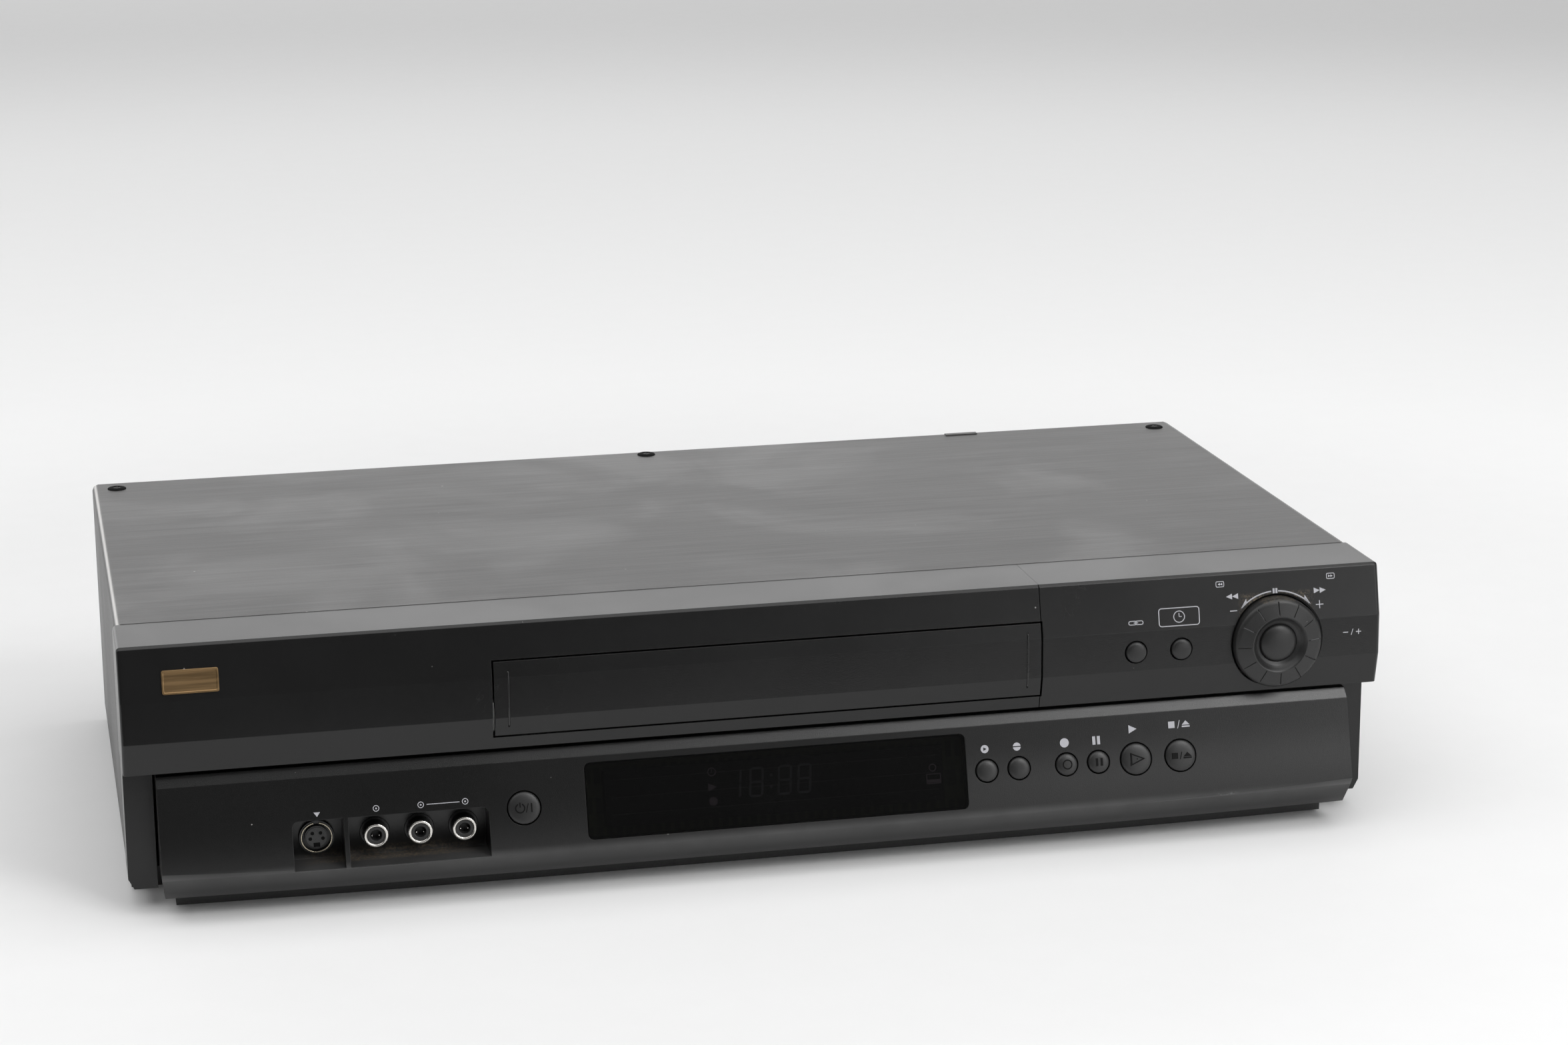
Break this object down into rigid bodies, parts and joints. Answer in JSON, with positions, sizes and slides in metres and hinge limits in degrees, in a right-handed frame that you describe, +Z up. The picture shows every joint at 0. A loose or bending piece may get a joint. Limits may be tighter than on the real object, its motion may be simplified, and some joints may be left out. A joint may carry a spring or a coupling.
{
  "type": "video cassette recorder",
  "caption": "Full-width video cassette recorder with a top-hung cassette door, leaning lower panel with display and buttons, shuttle ring and front sockets",
  "frame": {"origin": "middle of the bounding box at floor level, under the feet", "axes": "+X to the right seen from the front, the front faces -Y, +Z up"},
  "size_m": [0.435, 0.2426, 0.0946],
  "materials": {
    "cover_paint": "fine textured dark grey paint",
    "bezel_plastic": "satin charcoal moulding",
    "button_plastic": "satin charcoal moulding",
    "window": "smoked gloss",
    "pan_plastic": "black moulding",
    "rubber": "matt",
    "screw_black": "black finish",
    "jack_metal": "bright plating",
    "display_glass": "tube glass",
    "board": "phenolic board",
    "switch_body": "black moulding",
    "zinc_steel": "zinc plated",
    "drum_alloy": "turned",
    "capstan_steel": "ground",
    "core_iron": "varnished",
    "cap_sleeve": "sleeve",
    "gear_nylon": "nylon"
  },
  "bodies": {
    "chassis": {"top_cover": "cover_paint", "cover_screws": "screw_black", "front_bezel": "bezel_plastic", "control_bezel": "bezel_plastic", "lower_panel": "bezel_plastic", "display_window": "window", "display_tube": "display_glass", "front_board": "board", "dial_board": "board", "tact_switches": "switch_body", "encoder": "switch_body", "front_phono_sockets": "jack_metal", "front_s_socket": "pan_plastic", "jack_board": "board", "base_pan": "pan_plastic", "feet": "rubber", "rear_panel": "cover_paint", "rear_phono_sockets": "jack_metal", "rear_socket_block": "pan_plastic", "aerial_sockets": "jack_metal", "tuner_can": "zinc_steel", "mains_inlet": "pan_plastic", "main_board": "board", "power_board": "board", "transformer": "core_iron", "capacitors": "cap_sleeve", "deck_plate": "zinc_steel", "deck_sides": "zinc_steel", "lower_drum": "drum_alloy", "erase_head": "switch_body", "audio_head": "zinc_steel", "capstan_stator": "zinc_steel", "loading_motor": "zinc_steel"},
    "power_button": {"power_button": "button_plastic"},
    "play_button": {"play_button": "button_plastic"},
    "stop_button": {"stop_button": "button_plastic"},
    "insert_button": {"insert_button": "button_plastic"},
    "dub_button": {"dub_button": "button_plastic"},
    "record_button": {"record_button": "button_plastic"},
    "pause_button": {"pause_button": "button_plastic"},
    "link_button": {"link_button": "button_plastic"},
    "timer_button": {"timer_button": "button_plastic"},
    "shuttle_ring": {"shuttle_ring": "bezel_plastic"},
    "jog_knob": {"jog_knob": "bezel_plastic"},
    "cassette_door": {"cassette_door": "bezel_plastic"},
    "loader_slide": {"loader_slide": "zinc_steel"},
    "cassette_carriage": {"cassette_carriage": "zinc_steel"},
    "loading_gear": {"loading_gear": "gear_nylon"},
    "motor_gear": {"motor_gear": "gear_nylon"},
    "upper_drum": {"upper_drum": "drum_alloy"},
    "capstan": {"capstan": "capstan_steel"},
    "pinch_arm": {"pinch_arm": "zinc_steel"},
    "pinch_roller": {"pinch_roller": "rubber"},
    "supply_reel": {"supply_reel": "gear_nylon"},
    "takeup_reel": {"takeup_reel": "gear_nylon"},
    "idler_arm": {"idler_arm": "zinc_steel"},
    "idler_wheel": {"idler_wheel": "rubber"},
    "tension_arm": {"tension_arm": "zinc_steel"},
    "supply_guide": {"supply_guide": "gear_nylon"},
    "takeup_guide": {"takeup_guide": "gear_nylon"}
  },
  "joints": [
    {"name": "power_press", "type": "slide", "parent": "chassis", "child": "power_button", "axis": [0, 0.9613, -0.2756], "range_m": [0, 0.0008], "stiffness_N_per_m": 800, "springref_m": -0.0008},
    {"name": "play_press", "type": "slide", "parent": "chassis", "child": "play_button", "axis": [0, 0.9613, -0.2756], "range_m": [0, 0.0008], "stiffness_N_per_m": 800, "springref_m": -0.0008},
    {"name": "stop_press", "type": "slide", "parent": "chassis", "child": "stop_button", "axis": [0, 0.9613, -0.2756], "range_m": [0, 0.0008], "stiffness_N_per_m": 800, "springref_m": -0.0008},
    {"name": "insert_press", "type": "slide", "parent": "chassis", "child": "insert_button", "axis": [0, 0.9613, -0.2756], "range_m": [0, 0.0008], "stiffness_N_per_m": 800, "springref_m": -0.0008},
    {"name": "dub_press", "type": "slide", "parent": "chassis", "child": "dub_button", "axis": [0, 0.9613, -0.2756], "range_m": [0, 0.0008], "stiffness_N_per_m": 800, "springref_m": -0.0008},
    {"name": "record_press", "type": "slide", "parent": "chassis", "child": "record_button", "axis": [0, 0.9613, -0.2756], "range_m": [0, 0.0008], "stiffness_N_per_m": 800, "springref_m": -0.0008},
    {"name": "pause_press", "type": "slide", "parent": "chassis", "child": "pause_button", "axis": [0, 0.9613, -0.2756], "range_m": [0, 0.0008], "stiffness_N_per_m": 800, "springref_m": -0.0008},
    {"name": "link_press", "type": "slide", "parent": "chassis", "child": "link_button", "axis": [0, 1, 0], "range_m": [0, 0.0008], "stiffness_N_per_m": 800, "springref_m": -0.0008},
    {"name": "timer_press", "type": "slide", "parent": "chassis", "child": "timer_button", "axis": [0, 1, 0], "range_m": [0, 0.0008], "stiffness_N_per_m": 800, "springref_m": -0.0008},
    {"name": "shuttle_turn", "type": "hinge", "parent": "chassis", "child": "shuttle_ring", "pos_m": [0.179, -0.11516, 0.069], "axis": [0, -1, 0], "range_deg": [-70, 70], "stiffness_Nm_per_rad": 0.02},
    {"name": "jog_press", "type": "slide", "parent": "shuttle_ring", "child": "jog_knob", "axis": [0, 1, 0], "range_m": [0, 0.0006], "stiffness_N_per_m": 900, "springref_m": -0.0008},
    {"name": "door_swing", "type": "hinge", "parent": "chassis", "child": "cassette_door", "pos_m": [-0.00065, -0.10796, 0.088], "axis": [1, 0, 0], "range_deg": [0, 86], "stiffness_Nm_per_rad": 0.004, "springref_deg": -40.11},
    {"name": "loader_travel", "type": "slide", "parent": "chassis", "child": "loader_slide", "axis": [0, 1, 0], "range_m": [0, 0.068]},
    {"name": "carriage_drop", "type": "slide", "parent": "loader_slide", "child": "cassette_carriage", "axis": [0, 0, -1], "range_m": [0, 0.022]},
    {"name": "loading_gear_turn", "type": "hinge", "parent": "chassis", "child": "loading_gear", "pos_m": [0.09975, -0.00316, 0.074], "axis": [1, 0, 0], "range_deg": [-391, 1]},
    {"name": "motor_gear_turn", "type": "hinge", "parent": "chassis", "child": "motor_gear", "pos_m": [0.09975, -0.00316, 0.058], "axis": [1, 0, 0], "range_deg": [-1, 652]},
    {"name": "drum_spin", "type": "hinge", "parent": "chassis", "child": "upper_drum", "pos_m": [-0.00065, 0.06884, 0.0282], "axis": [-0.1038, 0, 0.9946], "continuous": true},
    {"name": "capstan_spin", "type": "hinge", "parent": "chassis", "child": "capstan", "pos_m": [0.06135, 0.04284, 0.02], "axis": [0, 0, 1], "continuous": true},
    {"name": "pinch_swing", "type": "hinge", "parent": "chassis", "child": "pinch_arm", "pos_m": [0.08535, 0.06084, 0.045], "axis": [0, 0, -1], "range_deg": [0, 24.5]},
    {"name": "roller_spin", "type": "hinge", "parent": "pinch_arm", "child": "pinch_roller", "pos_m": [0.07715, 0.04029, 0.045], "axis": [0, 0, 1], "continuous": true},
    {"name": "supply_spin", "type": "hinge", "parent": "chassis", "child": "supply_reel", "pos_m": [-0.04665, -0.02316, 0.026], "axis": [0, 0, 1], "continuous": true},
    {"name": "takeup_spin", "type": "hinge", "parent": "chassis", "child": "takeup_reel", "pos_m": [0.04535, -0.02316, 0.026], "axis": [0, 0, 1], "continuous": true},
    {"name": "idler_swing", "type": "hinge", "parent": "chassis", "child": "idler_arm", "pos_m": [-0.00065, -0.03716, 0.024], "axis": [0, 0, 1], "range_deg": [-33, 33]},
    {"name": "idler_spin", "type": "hinge", "parent": "idler_arm", "child": "idler_wheel", "pos_m": [-0.00065, -0.02116, 0.027], "axis": [0, 0, 1], "continuous": true},
    {"name": "tension_swing", "type": "hinge", "parent": "chassis", "child": "tension_arm", "pos_m": [-0.06665, 0.00284, 0.025], "axis": [0, 0, 1], "range_deg": [0, 40], "stiffness_Nm_per_rad": 0.02},
    {"name": "supply_guide_travel", "type": "slide", "parent": "chassis", "child": "supply_guide", "axis": [-0.2203, 0.9754, 0], "range_m": [0, 0.0635]},
    {"name": "takeup_guide_travel", "type": "slide", "parent": "chassis", "child": "takeup_guide", "axis": [0.2203, 0.9754, 0], "range_m": [0, 0.0635]}
  ],
  "couplings": [
    {"joint": "loading_gear_turn", "follows": "loader_travel", "rad_per_m": -100},
    {"joint": "motor_gear_turn", "follows": "loader_travel", "rad_per_m": 166.67},
    {"joint": "takeup_guide_travel", "follows": "supply_guide_travel", "ratio": 1}
  ]
}
